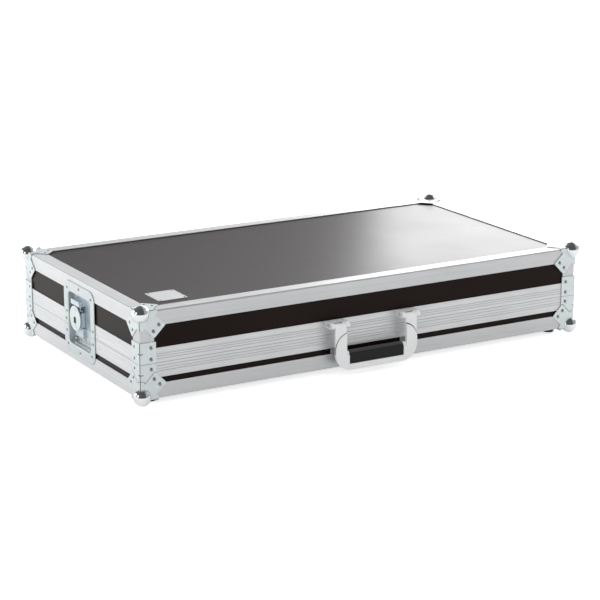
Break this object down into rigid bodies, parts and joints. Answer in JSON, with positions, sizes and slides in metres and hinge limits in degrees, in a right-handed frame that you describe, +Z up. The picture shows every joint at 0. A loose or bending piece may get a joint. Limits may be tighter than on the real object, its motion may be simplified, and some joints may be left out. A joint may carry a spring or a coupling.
{
  "type": "lighting console flight case",
  "caption": "Shallow console flight case: black laminate panels, aluminium edges, ball corners, lift-off lid with a recessed twist latch at each end, and a swing handle in front.",
  "frame": {"origin": "on the floor, under the middle of the whole object's box", "axes": "+Z up, X along the long side, the handle at the front, which looks along -Y"},
  "size_m": [1.0774, 0.6126, 0.2067],
  "materials": {
    "laminate": "black phenolic laminate on birch plywood, semi-gloss",
    "profile": "drawn lengthwise, satin",
    "plate": "bright zinc plate",
    "ball": "bright",
    "rubber": "matt black",
    "foam": "charcoal open-cell foam"
  },
  "bodies": {
    "base": {"base_floor_panel": "laminate", "base_front_panel": "laminate", "base_back_panel": "laminate", "base_left_panel": "laminate", "base_right_panel": "laminate", "base_front_angle": "profile", "base_back_angle": "profile", "base_left_angle": "profile", "base_right_angle": "profile", "base_front_closure": "profile", "base_back_closure": "profile", "base_ball_corner_front_left": "ball", "base_ball_corner_front_right": "ball", "base_ball_corner_back_left": "ball", "base_ball_corner_back_right": "ball", "base_brace_front_left": "plate", "base_brace_front_right": "plate", "base_brace_back_left": "plate", "base_brace_back_right": "plate", "foot_front_left": "rubber", "foot_front_right": "rubber", "foot_back_left": "rubber", "foot_back_right": "rubber", "base_foam_lining": "foam", "left_latch_dish": "plate", "right_latch_dish": "plate"},
    "lid": {"lid_top_panel": "laminate", "lid_front_panel": "laminate", "lid_back_panel": "laminate", "lid_left_panel": "laminate", "lid_right_panel": "laminate", "lid_front_angle": "profile", "lid_back_angle": "profile", "lid_left_angle": "profile", "lid_right_angle": "profile", "lid_front_closure": "profile", "lid_back_closure": "profile", "lid_ball_corner_front_left": "ball", "lid_ball_corner_front_right": "ball", "lid_ball_corner_back_left": "ball", "lid_ball_corner_back_right": "ball", "lid_brace_front_left": "plate", "lid_brace_front_right": "plate", "lid_brace_back_left": "plate", "lid_brace_back_right": "plate", "lid_foam_lining": "foam", "left_keeper_dish": "plate", "right_keeper_dish": "plate", "handle_left_bracket": "plate", "handle_right_bracket": "plate"},
    "handle": {"handle_bail": "plate", "handle_grip": "rubber"},
    "left_hub": {"left_latch_hub": "plate"},
    "left_hook": {"left_latch_hook": "plate"},
    "left_front_wing": {"left_latch_front_wing": "plate"},
    "left_back_wing": {"left_latch_back_wing": "plate"},
    "right_hub": {"right_latch_hub": "plate"},
    "right_hook": {"right_latch_hook": "plate"},
    "right_front_wing": {"right_latch_front_wing": "plate"},
    "right_back_wing": {"right_latch_back_wing": "plate"}
  },
  "joints": [
    {"name": "lid_lift", "type": "slide", "parent": "base", "child": "lid", "axis": [0, 0, 1], "range_m": [0, 0.2]},
    {"name": "handle_swing", "type": "hinge", "parent": "lid", "child": "handle", "pos_m": [0, -0.29855, 0.1094], "axis": [-1, 0, 0], "range_deg": [0, 90]},
    {"name": "left_latch_turn", "type": "hinge", "parent": "base", "child": "left_hub", "pos_m": [-0.526, 0.03417, 0.106], "axis": [1, 0, 0], "range_deg": [0, 180]},
    {"name": "left_hook_slide", "type": "slide", "parent": "base", "child": "left_hook", "axis": [0, 0, 1], "range_m": [0, 0.008]},
    {"name": "left_front_wing_fold", "type": "hinge", "parent": "left_hub", "child": "left_front_wing", "pos_m": [-0.5244, 0.02957, 0.106], "axis": [0, 0, -1], "range_deg": [0, 85]},
    {"name": "left_back_wing_fold", "type": "hinge", "parent": "left_hub", "child": "left_back_wing", "pos_m": [-0.5244, 0.03877, 0.106], "axis": [0, 0, 1], "range_deg": [0, 85]},
    {"name": "right_latch_turn", "type": "hinge", "parent": "base", "child": "right_hub", "pos_m": [0.526, 0.03417, 0.106], "axis": [-1, 0, 0], "range_deg": [0, 180]},
    {"name": "right_hook_slide", "type": "slide", "parent": "base", "child": "right_hook", "axis": [0, 0, 1], "range_m": [0, 0.008]},
    {"name": "right_front_wing_fold", "type": "hinge", "parent": "right_hub", "child": "right_front_wing", "pos_m": [0.5244, 0.02957, 0.106], "axis": [0, 0, 1], "range_deg": [0, 85]},
    {"name": "right_back_wing_fold", "type": "hinge", "parent": "right_hub", "child": "right_back_wing", "pos_m": [0.5244, 0.03877, 0.106], "axis": [0, 0, -1], "range_deg": [0, 85]}
  ],
  "couplings": [
    {"joint": "left_hook_slide", "follows": "left_latch_turn", "m_per_rad": 0.002546},
    {"joint": "right_hook_slide", "follows": "right_latch_turn", "m_per_rad": 0.002546},
    {"joint": "left_back_wing_fold", "follows": "left_front_wing_fold", "ratio": 1},
    {"joint": "right_back_wing_fold", "follows": "right_front_wing_fold", "ratio": 1}
  ]
}
